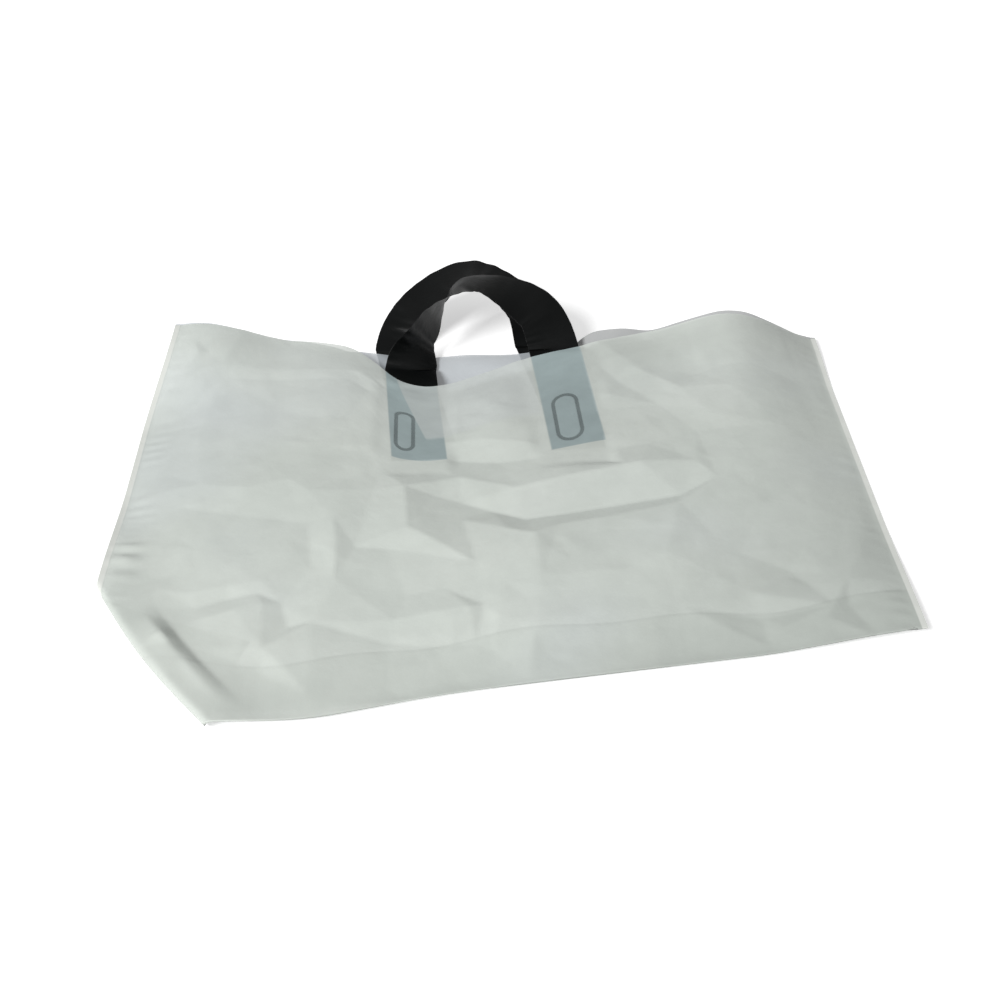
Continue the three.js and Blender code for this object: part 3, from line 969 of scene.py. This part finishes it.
def film_material():
    n = Nodes("milky_film")
    uv = n.new("ShaderNodeUVMap", uv_map="flat").outputs[0]
    split = n.new("ShaderNodeSeparateXYZ")
    n.link(uv, split.inputs[0])
    u, v = split.outputs[0], split.outputs[1]
    drift = n.times(v, PAD_SLANT)
    ring = ring_mask(n, u, v)
    leg = leg_mask(n, u, v, drift)
    pleat = pleat_mask(n, u, v, drift)
    weld = n.spread(n.math("ABSOLUTE", u), *WELD_BEGINS, 0.0, 1.0)
    # Painted shade towards the front panel's lower right
    painted_shade_lower_right = n.times(n.spread(n.plus(u, v), *LOWER_RIGHT_SHADE_BEGINS, 0.0, 1.0), n.spread(v, *FRONT_ENDS, 1.0, 0.0))
    # Painted shade on the back panel's inside near the mouth
    inside = n.spread(v, *INSIDE_PAINTED_SHADE_BEGINS, 0.0, 1.0)
    shaded = n.times(n.spread(v, *SHADE_BEGINS, 0.0, 1.0), n.spread(u, *SHADE_RIGHT_OF, 0.0, 1.0))
    cloud = n.noise(uv, *CLOUD)
    streak = n.noise(uv, *STREAK)
    tint = n.noise(uv, *TINT)

    colour = n.mix(n.spread(cloud, *NOISE_STEP, 0.0, 1.0), MILKY, MILKY_PALE)
    colour = n.mix(n.spread(tint, *TINT_STEP, 0.0, TINT_MOST), colour, MILKY_BLUE)
    # Painted shade: the front panel greyed towards its lower right
    colour = n.mix(painted_shade_lower_right, colour, MILKY_PAINTED_SHADE)
    colour = n.mix(weld, colour, WELDED)
    # Painted shade on the back panel's inside near the mouth, then deeper painted shade at the right of the
    # handles
    colour = n.mix(inside, colour, INSIDE_PAINTED_SHADE)
    colour = n.mix(shaded, colour, INSIDE_SHADE)
    colour = n.mix(leg, colour, OVER_LEG)
    colour = n.mix(n.times(pleat, PLEAT_TINT), colour, PLEATED)
    n.link(colour, n.shader.inputs["Base Color"])

    opaque = n.spread(streak, *NOISE_STEP, *OPAQUE)
    opaque = n.plus(opaque, n.times(weld, WELD_OPAQUE))
    opaque = n.plus(opaque, n.times(shaded, SHADE_OPAQUE))
    clearer = n.times(leg, n.spread(v, 0.0, LEG_CLEARER_OVER, *LEG_CLEARER))
    clearer = n.times(clearer, n.spread(pleat, 0.0, 1.0, 1.0, PLEAT_KEEPS))
    opaque = n.minus(opaque, clearer)
    opaque = n.minus(opaque, n.times(ring, RING_CLEARER))
    n.link(opaque, n.shader.inputs["Alpha"])

    n.link(n.spread(cloud, *NOISE_STEP, *FILM_ROUGHNESS), n.shader.inputs["Roughness"])
    normal = n.bump(n.noise(uv, *CRINKLE), *CRINKLE_BUMP)
    normal = n.bump(n.noise(uv, *GRAIN), *GRAIN_BUMP, normal)
    normal = n.bump(ring, *RING_BUMP, normal)
    n.link(normal, n.shader.inputs["Normal"])
    n.shader.inputs["Specular IOR Level"].default_value = FILM_SHEEN
    return n.material


# The black strips: colours and surface
BLACK = (0.0025, 0.003, 0.003, 1)
BLACK_PALE = (0.005, 0.0055, 0.0055, 1)
STRIP_CLOUD = (35.0, 4.0)
STRIP_CRINKLE = (110.0, 5.0, 0.6)
STRIP_CRINKLE_BUMP = (0.4, 0.0008)
STRIP_GRAIN = (1500.0, 2.0)
STRIP_GRAIN_BUMP = (0.15, 0.00008)
STRIP_ROUGHNESS = (0.34, 0.5)
STRIP_SHEEN = 0.15


def strip_material():
    n = Nodes("black_film")
    uv = n.new("ShaderNodeUVMap", uv_map="flat").outputs[0]
    cloud = n.noise(uv, *STRIP_CLOUD)
    n.link(n.mix(cloud, BLACK, BLACK_PALE), n.shader.inputs["Base Color"])
    n.link(n.spread(cloud, *NOISE_STEP, *STRIP_ROUGHNESS), n.shader.inputs["Roughness"])
    normal = n.bump(n.noise(uv, *STRIP_CRINKLE), *STRIP_CRINKLE_BUMP)
    normal = n.bump(n.noise(uv, *STRIP_GRAIN), *STRIP_GRAIN_BUMP, normal)
    n.link(normal, n.shader.inputs["Normal"])
    n.shader.inputs["Specular IOR Level"].default_value = STRIP_SHEEN
    return n.material


bag_film.data.materials.append(film_material())
black = strip_material()
front_strip.data.materials.append(black)
rear_strip.data.materials.append(black)

for piece, node, slot in (
    (bag_film, "bag_body", "milky_film"),
    (front_strip, "front_handle", "black_film"),
    (rear_strip, "rear_handle", "black_film"),
):
    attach(piece, "root")
    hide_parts(node)

# The floor: plain and pale, white to the camera, with the bag's shadow on it, and brighter far away,
# where the lamp doesn't reach
FLOOR_HALF = 6.0
FLOOR_Z = -0.0002
FLOOR_COLOUR = (0.8, 0.8, 0.8, 1)
FLOOR_GLOW = 0.5
FAR_FLOOR = (1.5, 3.0)


def floor_material():
    n = Nodes("floor")
    n.tree.nodes.remove(n.shader)
    diffuse = n.new("ShaderNodeBsdfDiffuse")
    diffuse.inputs["Color"].default_value = FLOOR_COLOUR
    glow = n.new("ShaderNodeEmission")
    seen = n.new("ShaderNodeLightPath").outputs
    direct = n.most([seen["Is Camera Ray"], seen["Is Transmission Ray"], seen["Is Glossy Ray"]])
    away = n.new("ShaderNodeVectorMath", operation="LENGTH")
    n.link(n.new("ShaderNodeNewGeometry").outputs["Position"], away.inputs[0])
    distant = n.times(n.spread(away.outputs["Value"], *FAR_FLOOR, 0.0, 1.0), seen["Is Camera Ray"])
    n.link(n.plus(n.times(direct, FLOOR_GLOW), distant), glow.inputs["Strength"])
    both = n.new("ShaderNodeAddShader")
    n.link(diffuse.outputs[0], both.inputs[0])
    n.link(glow.outputs[0], both.inputs[1])
    n.link(both.outputs[0], n.tree.nodes["Material Output"].inputs["Surface"])
    return n.material


floor_mesh = bpy.data.meshes.new("floor")
floor_corners = [(x * FLOOR_HALF, y * FLOOR_HALF, FLOOR_Z) for x, y in ((-1, -1), (1, -1), (1, 1), (-1, 1))]
floor_mesh.from_pydata(floor_corners, [], [(0, 1, 2, 3)])
floor_mesh.materials.append(floor_material())
floor = bpy.data.objects.new("floor", floor_mesh)
bpy.context.scene.collection.objects.link(floor)

# Light: a pale surround, white to the camera, and a broad soft lamp from the left and front
SURROUND_LIGHT = 0.34
SURROUND_SEEN = 1.0
world = bpy.data.worlds.new("surround")
bpy.context.scene.world = world
world.use_nodes = True
surround = world.node_tree.nodes["Background"]
surround.inputs["Color"].default_value = (1.0, 1.0, 1.0, 1)
looked_at = world.node_tree.nodes.new("ShaderNodeLightPath")
level = world.node_tree.nodes.new("ShaderNodeMapRange")
level.inputs["To Min"].default_value = SURROUND_LIGHT
level.inputs["To Max"].default_value = SURROUND_SEEN
world.node_tree.links.new(looked_at.outputs["Is Camera Ray"], level.inputs["Value"])
world.node_tree.links.new(level.outputs[0], surround.inputs["Strength"])

LAMP_PLACE = np.array([-2.5, -2.7, 2.9])
LAMP_SIZE = 1.6
LAMP_POWER = 222
lamp_data = bpy.data.lights.new("key", "AREA")
lamp_data.shape = "DISK"
lamp_data.size = LAMP_SIZE
lamp_data.energy = LAMP_POWER
lamp = bpy.data.objects.new("key", lamp_data)
lamp.location = LAMP_PLACE
lamp_tilt = math.atan2(math.hypot(LAMP_PLACE[0], LAMP_PLACE[1]), LAMP_PLACE[2])
lamp_turn = math.atan2(-LAMP_PLACE[1], -LAMP_PLACE[0]) - math.pi / 2
lamp.rotation_euler = (lamp_tilt, 0, lamp_turn)
bpy.context.scene.collection.objects.link(lamp)

# The camera, at the photograph's viewing angle: place in bag millimetres, tilt and turn in degrees
CAMERA_PLACE = (-21.27, -454, 474.7)
CAMERA_TILT = 52.2
CAMERA_TURN = -2
CAMERA_LENS = 52.34
CAMERA_SENSOR = 36
camera_data = bpy.data.cameras.new("camera")
camera_data.sensor_width = CAMERA_SENSOR
camera_data.lens = CAMERA_LENS
camera_data.clip_start = 0.01
camera = bpy.data.objects.new("camera", camera_data)
camera.location = to_frame(CAMERA_PLACE)
camera.rotation_euler = (math.radians(CAMERA_TILT), 0, math.radians(CAMERA_TURN))
bpy.context.scene.collection.objects.link(camera)
bpy.context.scene.camera = camera
bpy.context.scene.view_settings.view_transform = "Standard"
